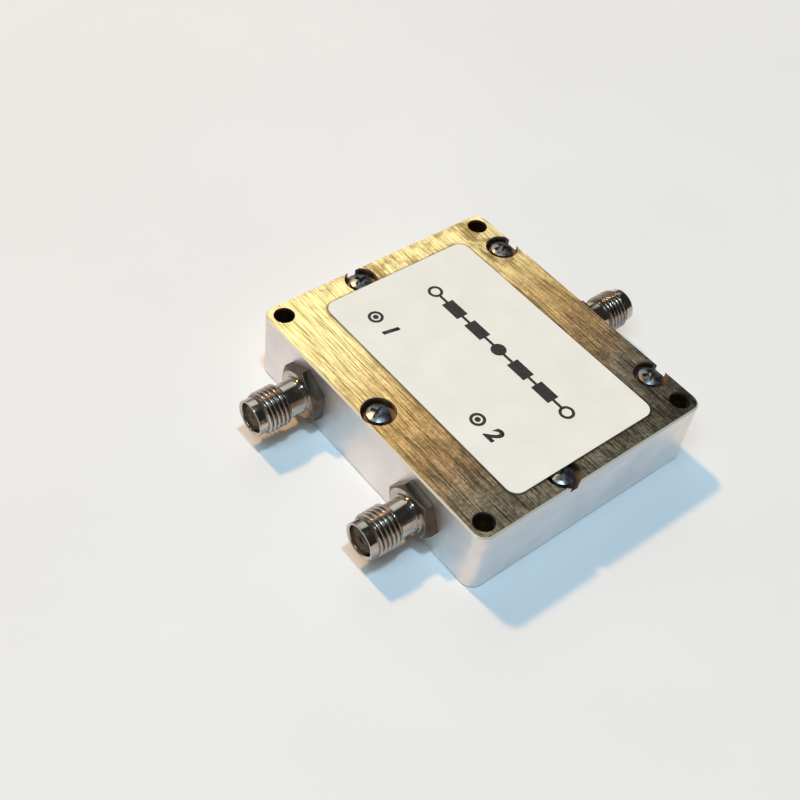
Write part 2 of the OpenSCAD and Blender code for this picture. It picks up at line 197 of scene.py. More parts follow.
    # brown stains along one end, most of them in its far corner
    parts = addNode(tree, "ShaderNodeSeparateXYZ", {}, {0: at})
    blot = addNode(tree, "ShaderNodeTexNoise", {},
                   {"Vector": at, "Scale": 1 / look["stainSize"], "Detail": 6.0, "Roughness": 0.65})
    blotShare = addNode(tree, "ShaderNodeMapRange", {},
                        {"Value": blot.outputs["Fac"], "From Min": 0.46, "From Max": 0.6,
                         "To Max": look["stainStrength"]})
    blotAway = addNode(tree, "ShaderNodeVectorMath", {"operation": "DISTANCE"},
                       {0: at, 1: look["stainPlace"]})
    blotPlace = addNode(tree, "ShaderNodeMapRange", {"interpolation_type": "SMOOTHSTEP"},
                        {"Value": blotAway.outputs["Value"], "From Min": look["stainReach"][0],
                         "From Max": look["stainReach"][1], "To Min": 1.0, "To Max": look["stainElsewhere"]})
    blotLeft = addNode(tree, "ShaderNodeMapRange", {"interpolation_type": "SMOOTHSTEP"},
                       {"Value": parts.outputs[0], "From Min": look["stainEndX"][0],
                        "From Max": look["stainEndX"][1], "To Max": look["stainEndShare"]})
    blotBack = addNode(tree, "ShaderNodeMapRange", {"interpolation_type": "SMOOTHSTEP"},
                       {"Value": parts.outputs[1], "From Min": look["stainEndY"][0],
                        "From Max": look["stainEndY"][1]})
    blotSide = addNode(tree, "ShaderNodeMath", {"operation": "MULTIPLY"},
                       {0: blotLeft.outputs[0], 1: blotBack.outputs[0]})
    blotArea = addNode(tree, "ShaderNodeMath", {"operation": "MAXIMUM"},
                       {0: blotPlace.outputs[0], 1: blotSide.outputs[0]})
    stainShare = addNode(tree, "ShaderNodeMath", {"operation": "MULTIPLY"},
                         {0: blotShare.outputs[0], 1: blotArea.outputs[0]})
    colour = addNode(tree, "ShaderNodeMix", {"data_type": "RGBA", "blend_type": "MULTIPLY"},
                     {0: stainShare.outputs[0], 6: mottled.outputs[2], 7: toLinear(look["stain"])})

    # where the surface looks up, and where it lies deep or well inside the outline
    facing = addNode(tree, "ShaderNodeNewGeometry")
    facingParts = addNode(tree, "ShaderNodeSeparateXYZ", {}, {0: facing.outputs["Normal"]})
    upward = addNode(tree, "ShaderNodeMapRange", {},
                     {"Value": facingParts.outputs[2], "From Min": 0.76, "From Max": 0.92})
    deep = addNode(tree, "ShaderNodeMapRange", {},
                   {"Value": parts.outputs[2], "From Min": look["top"] - 0.15, "From Max": look["top"] - 0.7})
    spread = addNode(tree, "ShaderNodeVectorMath", {"operation": "ABSOLUTE"}, {0: at})
    margin = addNode(tree, "ShaderNodeVectorMath", {"operation": "SUBTRACT"},
                     {0: spread.outputs[0], 1: look["outlineCore"]})
    pastCore = addNode(tree, "ShaderNodeVectorMath", {"operation": "MAXIMUM"},
                       {0: margin.outputs[0], 1: (0, 0, 0)})
    nearest = addNode(tree, "ShaderNodeVectorMath", {"operation": "LENGTH"}, {0: pastCore.outputs[0]})
    inside = addNode(tree, "ShaderNodeMapRange", {},
                     {"Value": nearest.outputs["Value"], "From Min": look["outlineCorner"] - 0.12,
                      "From Max": look["outlineCorner"] - 0.3})
    enclosed = addNode(tree, "ShaderNodeMath", {"operation": "MAXIMUM"},
                       {0: inside.outputs[0], 1: upward.outputs[0]})
    recess = addNode(tree, "ShaderNodeMath", {"operation": "MULTIPLY"},
                     {0: deep.outputs[0], 1: enclosed.outputs[0]})

    # distance from the label's rounded outline
    centred = addNode(tree, "ShaderNodeVectorMath", {"operation": "SUBTRACT"}, {0: at, 1: labelMiddle})
    folded = addNode(tree, "ShaderNodeVectorMath", {"operation": "ABSOLUTE"}, {0: centred.outputs[0]})
    beyond = addNode(tree, "ShaderNodeVectorMath", {"operation": "SUBTRACT"},
                     {0: folded.outputs[0], 1: labelCore})
    outside = addNode(tree, "ShaderNodeVectorMath", {"operation": "MAXIMUM"},
                      {0: beyond.outputs[0], 1: (0, 0, 0)})
    away = addNode(tree, "ShaderNodeVectorMath", {"operation": "LENGTH"}, {0: outside.outputs[0]})
    # a dark line round the label: partly adhesive dirt, partly a painted shadow of the label's edge
    rim = addNode(tree, "ShaderNodeMapRange", {},
                  {"Value": away.outputs["Value"], "From Min": look["labelCorner"] + 0.5,
                   "From Max": look["labelCorner"] + 0.05, "To Max": 0.8})
    topRim = addNode(tree, "ShaderNodeMath", {"operation": "MULTIPLY"},
                     {0: rim.outputs[0], 1: upward.outputs[0]})

    slanted = addNode(tree, "ShaderNodeMapRange", {},
                      {"Value": facingParts.outputs[2], "From Min": 0.4, "From Max": 0.65})
    rightward = addNode(tree, "ShaderNodeMapRange", {},
                        {"Value": facingParts.outputs[0], "From Min": -0.3, "From Max": 0.2})
    sides = addNode(tree, "ShaderNodeMix", {"data_type": "RGBA"},
                    {0: slanted.outputs[0], 6: toLinear(look["edge"]), 7: toLinear(look["bevel"])})
    # the broken edge all round is scuffed matt
    scuffed = addNode(tree, "ShaderNodeMath", {"operation": "SUBTRACT"},
                      {0: slanted.outputs[0], 1: upward.outputs[0]})
    bright = addNode(tree, "ShaderNodeMapRange", {},
                     {"Value": scuffed.outputs[0], "To Min": 1.0, "To Max": 0.2})
    edged = addNode(tree, "ShaderNodeMix", {"data_type": "RGBA"},
                    {0: upward.outputs[0], 6: sides.outputs[2], 7: colour.outputs[2]})
    # painted shade: the counterbores' left walls are darkened brown and their right walls, which face the
    # lamp, stay pale; their floors get a dark painted shade
    litAndShadedWalls = addNode(tree, "ShaderNodeMix", {"data_type": "RGBA"},
                    {0: rightward.outputs[0], 6: toLinear(look["recess"]), 7: toLinear(look["shadedRecess"])})
    recessShading = addNode(tree, "ShaderNodeMix", {"data_type": "RGBA"},
                      {0: upward.outputs[0], 6: litAndShadedWalls.outputs[2], 7: toLinear(look["shadedBoreFloor"])})
    recessShaded = addNode(tree, "ShaderNodeMix", {"data_type": "RGBA"},
                   {0: recess.outputs[0], 6: edged.outputs[2], 7: recessShading.outputs[2]})
    dirtAndShadowed = addNode(tree, "ShaderNodeMix", {"data_type": "RGBA"},
                      {0: topRim.outputs[0], 6: recessShaded.outputs[2], 7: toLinear(look["dirtAndShadow"])})
    rough = addNode(tree, "ShaderNodeMapRange", {},
                    {"Value": band.outputs["Fac"], "From Min": 0.3, "From Max": 0.7,
                     "To Min": look["roughness"][0], "To Max": look["roughness"][1]})
    # the lid's sides are milled and not brushed
    roughAll = addNode(tree, "ShaderNodeMix", {},
                       {0: slanted.outputs[0], 2: look["sideRoughness"], 3: rough.outputs[0]})
    brushed = addNode(tree, "ShaderNodeMath", {"operation": "MULTIPLY"},
                      {0: slanted.outputs[0], 1: look["anisotropy"]})
    heights = addNode(tree, "ShaderNodeMath", {"operation": "MULTIPLY_ADD"},
                      {0: band.outputs["Fac"], 1: 2.0, 2: grain.outputs["Fac"]})
    bump = addNode(tree, "ShaderNodeBump", {},
                   {"Height": heights.outputs[0], "Strength": 0.6, "Distance": 0.00002})
    # the shine spreads across the grain
    across = addNode(tree, "ShaderNodeCombineXYZ", {}, {0: 0.02, 1: 1.0, 2: 0.03})
    tree.links.new(bright.outputs[0], shader.inputs["Metallic"])
    tree.links.new(brushed.outputs[0], shader.inputs["Anisotropic"])
    tree.links.new(dirtAndShadowed.outputs[2], shader.inputs["Base Color"])
    tree.links.new(roughAll.outputs[0], shader.inputs["Roughness"])
    tree.links.new(bump.outputs[0], shader.inputs["Normal"])
    tree.links.new(across.outputs[0], shader.inputs["Tangent"])
    return material


# A plain finish whose colour drifts between two tones and whose roughness drifts with it
def driftingFinish(name, look):
    material, tree, shader, at = startMaterial(name)
    drift = addNode(tree, "ShaderNodeTexNoise", {},
                    {"Vector": at, "Scale": 1 / look["patch"], "Detail": 4.0})
    share = addNode(tree, "ShaderNodeMapRange", {},
                    {"Value": drift.outputs["Fac"], "From Min": 0.32, "From Max": 0.68})
    colour = addNode(tree, "ShaderNodeMix", {"data_type": "RGBA"},
                     {0: share.outputs[0], 6: toLinear(look["low"]), 7: toLinear(look["high"])})
    rough = addNode(tree, "ShaderNodeMapRange", {},
                    {"Value": share.outputs[0],
                     "To Min": look["roughness"][0], "To Max": look["roughness"][1]})
    fine = addNode(tree, "ShaderNodeTexNoise", {}, {"Vector": at, "Scale": 1 / look["grain"], "Detail": 3.0})
    bump = addNode(tree, "ShaderNodeBump", {},
                   {"Height": fine.outputs["Fac"], "Strength": look["bump"], "Distance": 0.00001})
    shader.inputs["Metallic"].default_value = look["metallic"]
    shader.inputs["Specular IOR Level"].default_value = look.get("specular", 0.5)
    tree.links.new(colour.outputs[2], shader.inputs["Base Color"])
    tree.links.new(rough.outputs[0], shader.inputs["Roughness"])
    tree.links.new(bump.outputs[0], shader.inputs["Normal"])
    return material


# Nickel plate on turned brass: a hard, slightly warm mirror with faint rub marks,
# browned where the jack's own darkening value says so: a painted dark reflection on the hexagon's sides, and
# darker thread roots
def nickelPlatedBrass():
    look = {"low": "#B0A399", "high": "#CDC3B8", "darkening": "#574A40", "roughness": (0.08, 0.17),
            "darkeningRoughness": 0.3, "patch": 2.2, "rub": 1.6}
    material, tree, shader, at = startMaterial("nickelPlatedBrass")
    drift = addNode(tree, "ShaderNodeTexNoise", {}, {"Vector": at, "Scale": 1 / look["patch"], "Detail": 4.0})
    share = addNode(tree, "ShaderNodeMapRange", {},
                    {"Value": drift.outputs["Fac"], "From Min": 0.32, "From Max": 0.68})
    plated = addNode(tree, "ShaderNodeMix", {"data_type": "RGBA"},
                     {0: share.outputs[0], 6: toLinear(look["low"]), 7: toLinear(look["high"])})
    rough = addNode(tree, "ShaderNodeMapRange", {},
                    {"Value": share.outputs[0],
                     "To Min": look["roughness"][0], "To Max": look["roughness"][1]})
    darkened = addNode(tree, "ShaderNodeAttribute", {"attribute_name": "darkening"})
    rub = addNode(tree, "ShaderNodeTexNoise", {}, {"Vector": at, "Scale": 1 / look["rub"], "Detail": 3.0})
    rubShare = addNode(tree, "ShaderNodeMapRange", {},
                       {"Value": rub.outputs["Fac"], "From Min": 0.3, "From Max": 0.7,
                        "To Min": 0.86, "To Max": 1.0})
    darkenedShare = addNode(tree, "ShaderNodeMath", {"operation": "MULTIPLY"},
                      {0: darkened.outputs["Fac"], 1: rubShare.outputs[0]})
    colour = addNode(tree, "ShaderNodeMix", {"data_type": "RGBA"},
                     {0: darkenedShare.outputs[0], 6: plated.outputs[2], 7: toLinear(look["darkening"])})
    dulled = addNode(tree, "ShaderNodeMix", {},
                     {0: darkenedShare.outputs[0], 2: rough.outputs[0], 3: look["darkeningRoughness"]})
    bump = addNode(tree, "ShaderNodeBump", {},
                   {"Height": rub.outputs["Fac"], "Strength": 0.1, "Distance": 0.00002})
    shader.inputs["Metallic"].default_value = 1.0
    tree.links.new(colour.outputs[2], shader.inputs["Base Color"])
    tree.links.new(dulled.outputs[0], shader.inputs["Roughness"])
    tree.links.new(bump.outputs[0], shader.inputs["Normal"])
    return material


housingMetal = milledAluminium()
lidMetal = brushedAluminium()
nickelPlate = nickelPlatedBrass()
# Zinc-plated steel: bright screws, a little duller in patches
screwSteel = driftingFinish("zincPlatedSteel", {
    "low": "#68676A", "high": "#A2A3A6", "roughness": (0.24, 0.36),
    "patch": 1.4, "grain": 0.1, "bump": 0.2, "metallic": 1.0})
# Coated label paper: off-white and matt, with faint clouds
labelPaper = driftingFinish("coatedPaper", {
    "low": "#E6E2DA", "high": "#ECE8E1", "roughness": (0.5, 0.62),
    "patch": 6.0, "grain": 0.09, "bump": 0.08, "metallic": 0.0})
# Printing ink: soft black that lets a little paper through
labelInk = driftingFinish("printingInk", {
    "low": "#17161A", "high": "#2B292C", "roughness": (0.45, 0.6),
    "patch": 0.5, "grain": 0.06, "bump": 0.1, "metallic": 0.0})
# Glass-filled laminate: green solder mask, satin
boardLaminate = driftingFinish("glassLaminate", {
    "low": "#1D4A2F", "high": "#2A6040", "roughness": (0.35, 0.5),
    "patch": 1.2, "grain": 0.15, "bump": 0.2, "metallic": 0.0})
# Etched copper: bright, with brown tarnish
etchedCopper = driftingFinish("etchedCopper", {
    "low": "#B06A45", "high": "#D79A72", "roughness": (0.22, 0.38),
    "patch": 1.0, "grain": 0.08, "bump": 0.15, "metallic": 1.0})
# Chip resistor: glazed dark ceramic
chipCeramic = driftingFinish("glazedCeramic", {
    "low": "#151518", "high": "#25252A", "roughness": (0.25, 0.4),
    "patch": 0.6, "grain": 0.06, "bump": 0.15, "metallic": 0.0})
# Tin solder: bright fillets with a frosted skin
tinSolder = driftingFinish("tinSolder", {
    "low": "#A9ABAD", "high": "#CDCFD0", "roughness": (0.2, 0.42),
    "patch": 0.5, "grain": 0.07, "bump": 0.3, "metallic": 1.0})
# PTFE: waxy, greyed as painted shade deep in the jacks' mouths
shadedPtfe = driftingFinish("ptfe", {
    "low": "#9A9386", "high": "#ABA497", "roughness": (0.4, 0.55),
    "patch": 0.9, "grain": 0.08, "bump": 0.1, "metallic": 0.0})
# Gold flash over nickel: warm and bright
goldPlate = driftingFinish("goldPlate", {
    "low": "#C79A45", "high": "#E2BD6C", "roughness": (0.16, 0.3),
    "patch": 0.5, "grain": 0.06, "bump": 0.12, "metallic": 1.0})

solidFinish = {"housing": housingMetal, "lid": lidMetal, "lid_screws": screwSteel, "label": labelPaper,
               "circuit_board": boardLaminate, "microstrip": etchedCopper, "board_screws": screwSteel,
               "solder_joints": tinSolder}
for k in (1, 2, 3, 4):
    solidFinish[f"isolation_resistor_{k}"] = chipCeramic
jackNames = ("output_1", "output_2", "input")
for jack in jackNames:
    solidFinish[f"{jack}_jack_dielectric"] = shadedPtfe
    solidFinish[f"{jack}_jack_contact"] = goldPlate
for name, finish in solidFinish.items():
    for held in nodes[name].material_slots:
        held.material = finish
print("finishes set on", len(solidFinish), "solids")

# Jacks with cut threads, in place of the plain-thread solids

jackShape = {"segments": 96, "wall": 5.0, "bore": 2.07, "shank": 3.175, "axisHeight": 5.7, "edge": 0.06,
             "hexFlats": 8.0, "hexHeight": 1.8, "hexFace": 3.8, "hexSlope": 30.0,
             "shoulder": 3.0, "shoulderEnd": 2.1, "neck": 2.65, "threadStart": 4.55, "threadEnd": 8.75,
             "threadCrest": 3.175, "threadPitch": 0.7056, "threadDepth": 0.382, "collar": 2.75,
             "reach": 10.0, "mating": 2.3, "mouthBevel": 0.2, "matingFloor": 8.1, "weld": 0.004,
             "sharpAngle": 28.0, "hexDarkReflection": 1.0, "rootDarkening": 0.7, "rootShare": 0.6,
             "stationsPerTurn": 32,
             "places": {"output_1": (-12.8, -21.5, 27.0), "output_2": (12.8, -21.5, -8.0),
                        "input": (0.0, 21.5, 15.0)}}


# the thread as a sheared grid wrapped into a helix: u runs round, v runs along, and both ends are chamfered
def threadTree(stationsPerTurn):
    tree = bpy.data.node_groups.new("jackThread", "GeometryNodeTree")
    for name in ("Crest", "Depth", "Pitch", "Start", "End", "Start Radius", "End Radius"):
        tree.interface.new_socket(name, in_out="INPUT", socket_type="NodeSocketFloat")
    for name in ("Segments", "Turns"):
        tree.interface.new_socket(name, in_out="INPUT", socket_type="NodeSocketInt")
    tree.interface.new_socket("Finish", in_out="INPUT", socket_type="NodeSocketMaterial")
    tree.interface.new_socket("Geometry", in_out="OUTPUT", socket_type="NodeSocketGeometry")
    given = addNode(tree, "NodeGroupInput").outputs
    around = addNode(tree, "ShaderNodeMath", {"operation": "ADD"}, {0: given["Segments"], 1: 1.0})
    along = addNode(tree, "ShaderNodeMath", {"operation": "MULTIPLY_ADD"},
                    {0: given["Turns"], 1: float(stationsPerTurn), 2: 1.0})
    sheet = addNode(tree, "GeometryNodeMeshGrid", {},
                    {"Size X": 1.0, "Size Y": 1.0,
                     "Vertices X": around.outputs[0], "Vertices Y": along.outputs[0]})
    spot = addNode(tree, "GeometryNodeInputPosition")
    shifted = addNode(tree, "ShaderNodeVectorMath", {"operation": "ADD"},
                      {0: spot.outputs[0], 1: (0.5, 0.5, 0.0)})
    uv = addNode(tree, "ShaderNodeSeparateXYZ", {}, {0: shifted.outputs[0]})
    turn = addNode(tree, "ShaderNodeMath", {"operation": "MULTIPLY"}, {0: uv.outputs[1], 1: given["Turns"]})
    helix = addNode(tree, "ShaderNodeMath", {"operation": "ADD"}, {0: turn.outputs[0], 1: uv.outputs[0]})
    behind = addNode(tree, "ShaderNodeMath", {"operation": "SUBTRACT"},
                     {0: given["Start"], 1: given["Pitch"]})
    rawHeight = addNode(tree, "ShaderNodeMath", {"operation": "MULTIPLY_ADD"},
                        {0: helix.outputs[0], 1: given["Pitch"], 2: behind.outputs[0]})
    height = addNode(tree, "ShaderNodeClamp", {},
                     {"Value": rawHeight.outputs[0], "Min": given["Start"], "Max": given["End"]})
    # ridge: steep flanks between a rounded root and a rounded crest
    phase = addNode(tree, "ShaderNodeMath", {"operation": "PINGPONG"}, {0: turn.outputs[0], 1: 0.5})
    ridge = addNode(tree, "ShaderNodeMapRange", {"interpolation_type": "SMOOTHSTEP"},
                    {"Value": phase.outputs[0], "From Min": 0.04, "From Max": 0.46})
    threaded = addNode(tree, "ShaderNodeMath", {"operation": "MULTIPLY_ADD"},
                       {0: ridge.outputs[0], 1: given["Depth"]})
    root = addNode(tree, "ShaderNodeMath", {"operation": "SUBTRACT"}, {0: given["Crest"], 1: given["Depth"]})
    tree.links.new(root.outputs[0], threaded.inputs[2])
    fromStart = addNode(tree, "ShaderNodeMath", {"operation": "SUBTRACT"},
                        {0: height.outputs[0], 1: given["Start"]})
    startCone = addNode(tree, "ShaderNodeMath", {"operation": "ADD"},
                        {0: fromStart.outputs[0], 1: given["Start Radius"]})
    toEnd = addNode(tree, "ShaderNodeMath", {"operation": "SUBTRACT"},
                    {0: given["End"], 1: height.outputs[0]})
    endCone = addNode(tree, "ShaderNodeMath", {"operation": "ADD"},
                      {0: toEnd.outputs[0], 1: given["End Radius"]})
    lowCut = addNode(tree, "ShaderNodeMath", {"operation": "MINIMUM"},
                     {0: threaded.outputs[0], 1: startCone.outputs[0]})
    radius = addNode(tree, "ShaderNodeMath", {"operation": "MINIMUM"},
                     {0: lowCut.outputs[0], 1: endCone.outputs[0]})
    angle = addNode(tree, "ShaderNodeMath", {"operation": "MULTIPLY"}, {0: uv.outputs[0], 1: 2 * math.pi})
    cosine = addNode(tree, "ShaderNodeMath", {"operation": "COSINE"}, {0: angle.outputs[0]})
    sine = addNode(tree, "ShaderNodeMath", {"operation": "SINE"}, {0: angle.outputs[0]})
    x = addNode(tree, "ShaderNodeMath", {"operation": "MULTIPLY"},
                {0: radius.outputs[0], 1: cosine.outputs[0]})
    y = addNode(tree, "ShaderNodeMath", {"operation": "MULTIPLY"}, {0: radius.outputs[0], 1: sine.outputs[0]})
    wrapped = addNode(tree, "ShaderNodeCombineXYZ", {},
                      {0: x.outputs[0], 1: y.outputs[0], 2: height.outputs[0]})
    moved = addNode(tree, "GeometryNodeSetPosition", {},
                    {"Geometry": sheet.outputs["Mesh"], "Position": wrapped.outputs[0]})
    welded = addNode(tree, "GeometryNodeMergeByDistance", {},
                     {"Geometry": moved.outputs[0], "Distance": 0.000002})
    real = addNode(tree, "GeometryNodeRealizeInstances", {}, {"Geometry": welded.outputs[0]})
    painted = addNode(tree, "GeometryNodeSetMaterial", {},
                      {"Geometry": real.outputs[0], "Material": given["Finish"]})
    addNode(tree, "NodeGroupOutput", {}, {"Geometry": painted.outputs[0]})
    return tree


# runs a node tree on an empty mesh and gives back the plain mesh that it makes
def meshFromTree(name, tree, values):
    holder = bpy.data.objects.new(name, bpy.data.meshes.new(name))
    bpy.context.scene.collection.objects.link(holder)
    modifier = holder.modifiers.new(name, "NODES")
    modifier.node_group = tree
    for item in tree.interface.items_tree:
        if item.in_out == "INPUT" and item.name in values:
            modifier[item.identifier] = values[item.name]
    evaluated = holder.evaluated_get(bpy.context.evaluated_depsgraph_get())
    mesh = bpy.data.meshes.new_from_object(evaluated)
    holder.modifiers.remove(modifier)
    bpy.data.objects.remove(holder)
    return mesh


# each corner of a turned profile gets a small round, as a deburred edge has
def deburr(profile, edge, steps=3):
    rounded = [profile[0]]
    for before, corner, after in zip(profile, profile[1:], profile[2:]):
        a, b, c = Vector(before), Vector(corner), Vector(after)
        reach = min(edge, (a - b).length * 0.45, (c - b).length * 0.45)
        start = b + (a - b).normalized() * reach
        end = b + (c - b).normalized() * reach
        for s in range(steps + 1):
            t = s / steps
            rounded.append(tuple(start * (1 - t) ** 2 + b * 2 * t * (1 - t) + end * t ** 2))
    return rounded + [profile[-1]]


# joins rings of points into bands of faces; a ring is one point for each segment
def addBands(bm, rings):
    made = [[bm.verts.new(p) for p in ring] for ring in rings]
    count = len(made[0])
    for lower, upper in zip(made, made[1:]):
        for i in range(count):
            j = (i + 1) % count
            bm.faces.new((lower[i], lower[j], upper[j], upper[i]))


def turnedRings(profile, segments):
    angles = [2 * math.pi * i / segments for i in range(segments)]
    return [[(r * mm * math.cos(a), r * mm * math.sin(a), z * mm) for a in angles] for r, z in profile]


# the hexagon with its turned bevel, as rings of points
def hexRings(shape):
    segments = shape["segments"]
    slope = math.tan(math.radians(shape["hexSlope"]))
    rings = [[], [], [], [], []]
    for i in range(segments):
        a = 2 * math.pi * i / segments
        fromFlat = (math.degrees(a) % 60) - 30
        side = shape["hexFlats"] / 2 / math.cos(math.radians(fromFlat))
        bevelFoot = shape["hexHeight"] - (side - shape["hexFace"]) * slope
        edge = shape["edge"]
        points = ((side - edge, 0.0), (side, edge), (side, bevelFoot - edge / 2),
                  (side - edge / 2, bevelFoot + edge / 3),
                  (shape["hexFace"] + edge / 2, shape["hexHeight"] - edge / 4))
        for ring, (r, z) in zip(rings, points):
            ring.append((r * mm * math.cos(a), r * mm * math.sin(a), z * mm))
    return rings


def buildJack(name, threadMesh, shape):
    bm = bmesh.new()
    edge = shape["edge"]
    segments = shape["segments"]
    shank = [(shape["bore"], -shape["wall"]), (shape["shank"], -shape["wall"]), (shape["shank"], 0.0)]
    neck = deburr([(shape["hexFace"] - edge, shape["hexHeight"]), (shape["shoulder"], shape["hexHeight"]),
                   (shape["shoulder"], shape["shoulderEnd"]), (shape["neck"], shape["shoulderEnd"]),
                   (shape["neck"], shape["threadStart"])], edge)
    addBands(bm, turnedRings(shank, segments) + hexRings(shape) + turnedRings(neck, segments))
    mouth = deburr([(shape["collar"], shape["threadEnd"]), (shape["collar"], shape["reach"]),
                    (shape["mating"] + shape["mouthBevel"], shape["reach"]),
                    (shape["mating"], shape["reach"] - shape["mouthBevel"]),
                    (shape["mating"], shape["matingFloor"]),
                    (shape["bore"], shape["matingFloor"]), (shape["bore"], -shape["wall"])], edge)
    addBands(bm, turnedRings(mouth, segments))
    bm.from_mesh(threadMesh)
    bmesh.ops.remove_doubles(bm, verts=bm.verts, dist=shape["weld"] * mm)
    bmesh.ops.dissolve_degenerate(bm, edges=bm.edges, dist=shape["weld"] / 4 * mm)
    bmesh.ops.recalc_face_normals(bm, faces=bm.faces)
    # a painted dark reflection on the hexagon's sides, and the thread's roots are darker
    darkening = bm.faces.layers.float.new("darkening")
    rootRadius = (shape["threadCrest"] - shape["threadDepth"] * shape["rootShare"]) * mm
    for face in bm.faces:
        middle = face.calc_center_median()
        radius = math.hypot(middle.x, middle.y)
        along = middle.z / mm
        inThread = shape["threadStart"] < along < shape["threadEnd"] and radius > shape["mating"] * 1.05 * mm
        if along > 0 and radius > shape["hexFace"] * mm:
            face[darkening] = shape["hexDarkReflection"]
        elif inThread and radius < rootRadius:
            face[darkening] = shape["rootDarkening"]
    x, y, turn = shape["places"][name]
    half = 0.0 if y < 0 else math.pi
    place = (Matrix.Translation(Vector((x, y, shape["axisHeight"])) * mm) @ Matrix.Rotation(half, 4, "Z")
             @ Matrix.Rotation(math.pi / 2, 4, "X") @ Matrix.Rotation(math.radians(turn), 4, "Z"))
    bmesh.ops.transform(bm, matrix=place, verts=bm.verts)
    for face in bm.faces:
        face.smooth = True
        face.material_index = 0
    mesh = bpy.data.meshes.new(f"{name}_threaded_jack")
    bm.to_mesh(mesh)
    openEdges = sum(1 for e in bm.edges if len(e.link_faces) != 2)
    bm.free()
    mesh.materials.clear()
    mesh.materials.append(nickelPlate)
    mesh.set_sharp_from_angle(angle=math.radians(shape["sharpAngle"]))
    piece = bpy.data.objects.new(f"{name}_threaded_jack", mesh)
    bpy.context.scene.collection.objects.link(piece)
    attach(piece, "root")
    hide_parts(f"{name}_jack_body")
    print(piece.name, len(mesh.polygons), "faces, open edges", openEdges)


turns = math.ceil((jackShape["threadEnd"] - jackShape["threadStart"]) / jackShape["threadPitch"]) + 1
threadMesh = meshFromTree("jackThread", threadTree(jackShape["stationsPerTurn"]), {
    "Crest": jackShape["threadCrest"] * mm, "Depth": jackShape["threadDepth"] * mm,
    "Pitch": jackShape["threadPitch"] * mm,
    "Start": jackShape["threadStart"] * mm, "End": jackShape["threadEnd"] * mm,
    "Start Radius": jackShape["neck"] * mm, "End Radius": jackShape["collar"] * mm,
    "Segments": jackShape["segments"], "Turns": turns, "Finish": nickelPlate})
for jack in jackNames:
    buildJack(jack, threadMesh, jackShape)

# Print on the label: port marks and a plain splitter diagram

printShape = {"thickness": 0.02, "stroke": 0.46, "markHeight": 2.5, "capShare": 0.7,
              "lean": 0.18, "weight": 0.15, "curveSteps": 6,
              "ports": (("1", -13.2, -7.9), ("2", 10.5, -8.3)), "ring": 1.2, "dot": 0.45,
              "ringShift": -1.6, "numeralShift": 1.7, "lineY": 3.2, "lineLeft": -14.2, "lineRight": 15.0,
              "blocks": (-9.6, -4.4, 5.2, 10.4), "blockSize": (3.6, 2.1), "hub": 1.2}


def addPlate(bm, outline, low, high):
    bottom = [bm.verts.new((x * mm, y * mm, low)) for x, y in outline]
    top = [bm.verts.new((x * mm, y * mm, high)) for x, y in outline]
    bm.faces.new(list(reversed(bottom)))
    bm.faces.new(top)
    for i in range(len(outline)):
        j = (i + 1) % len(outline)
        bm.faces.new((bottom[i], bottom[j], top[j], top[i]))


def addRing(bm, x, y, outer, inner, low, high, segments=40):
    angles = [2 * math.pi * i / segments for i in range(segments)]
    loops = [[bm.verts.new(((x + r * math.cos(a)) * mm, (y + r * math.sin(a)) * mm, z)) for a in angles]
             for r, z in ((outer, low), (outer, high), (inner, high), (inner, low))]
    for k in range(4):
        near, far = loops[k], loops[(k + 1) % 4]
        for i in range(segments):
            j = (i + 1) % segments
            bm.faces.new((near[i], near[j], far[j], far[i]))


def addDot(bm, x, y, radius, low, high, sides=24):
    angles = [2 * math.pi * i / sides for i in range(sides)]
    addPlate(bm, [(x + radius * math.cos(a), y + radius * math.sin(a)) for a in angles], low, high)


def printedPiece(name, bm):
    bmesh.ops.recalc_face_normals(bm, faces=bm.faces)
    mesh = bpy.data.meshes.new(name)
    bm.to_mesh(mesh)
    bm.free()
    mesh.materials.append(labelInk)
    piece = bpy.data.objects.new(name, mesh)
    bpy.context.scene.collection.objects.link(piece)
    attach(piece, "root")


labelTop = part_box("label")[1].z
inkTop = labelTop + printShape["thickness"] * mm
stroke = printShape["stroke"]
ring = printShape["ring"]
for numeral, x, y in printShape["ports"]:
    figure = bpy.data.curves.new("numeral", "FONT")
    figure.body = numeral
    figure.size = printShape["markHeight"] * mm / printShape["capShare"]
    figure.shear = printShape["lean"]
    figure.offset = printShape["weight"] * mm
    figure.align_x = "CENTER"
    figure.align_y = "CENTER"
    figure.resolution_u = printShape["curveSteps"]
    letter = bpy.data.objects.new("numeral", figure)
    bpy.context.scene.collection.objects.link(letter)
    flat = bpy.data.meshes.new_from_object(letter.evaluated_get(bpy.context.evaluated_depsgraph_get()))
    bpy.data.objects.remove(letter)
    bm = bmesh.new()
    bm.from_mesh(flat)
    bmesh.ops.remove_doubles(bm, verts=bm.verts, dist=0.001 * mm)
    grown = bmesh.ops.extrude_face_region(bm, geom=bm.faces[:])
    lifted = [v for v in grown["geom"] if isinstance(v, bmesh.types.BMVert)]
    bmesh.ops.translate(bm, verts=lifted, vec=(0, 0, inkTop - labelTop))
    bmesh.ops.translate(bm, verts=bm.verts, vec=((x + printShape["numeralShift"]) * mm, y * mm, labelTop))
    addDot(bm, x + printShape["ringShift"], y, printShape["dot"], labelTop, inkTop)
    addRing(bm, x + printShape["ringShift"], y, ring, ring - stroke, labelTop, inkTop)
    printedPiece(f"port_mark_{numeral}", bm)

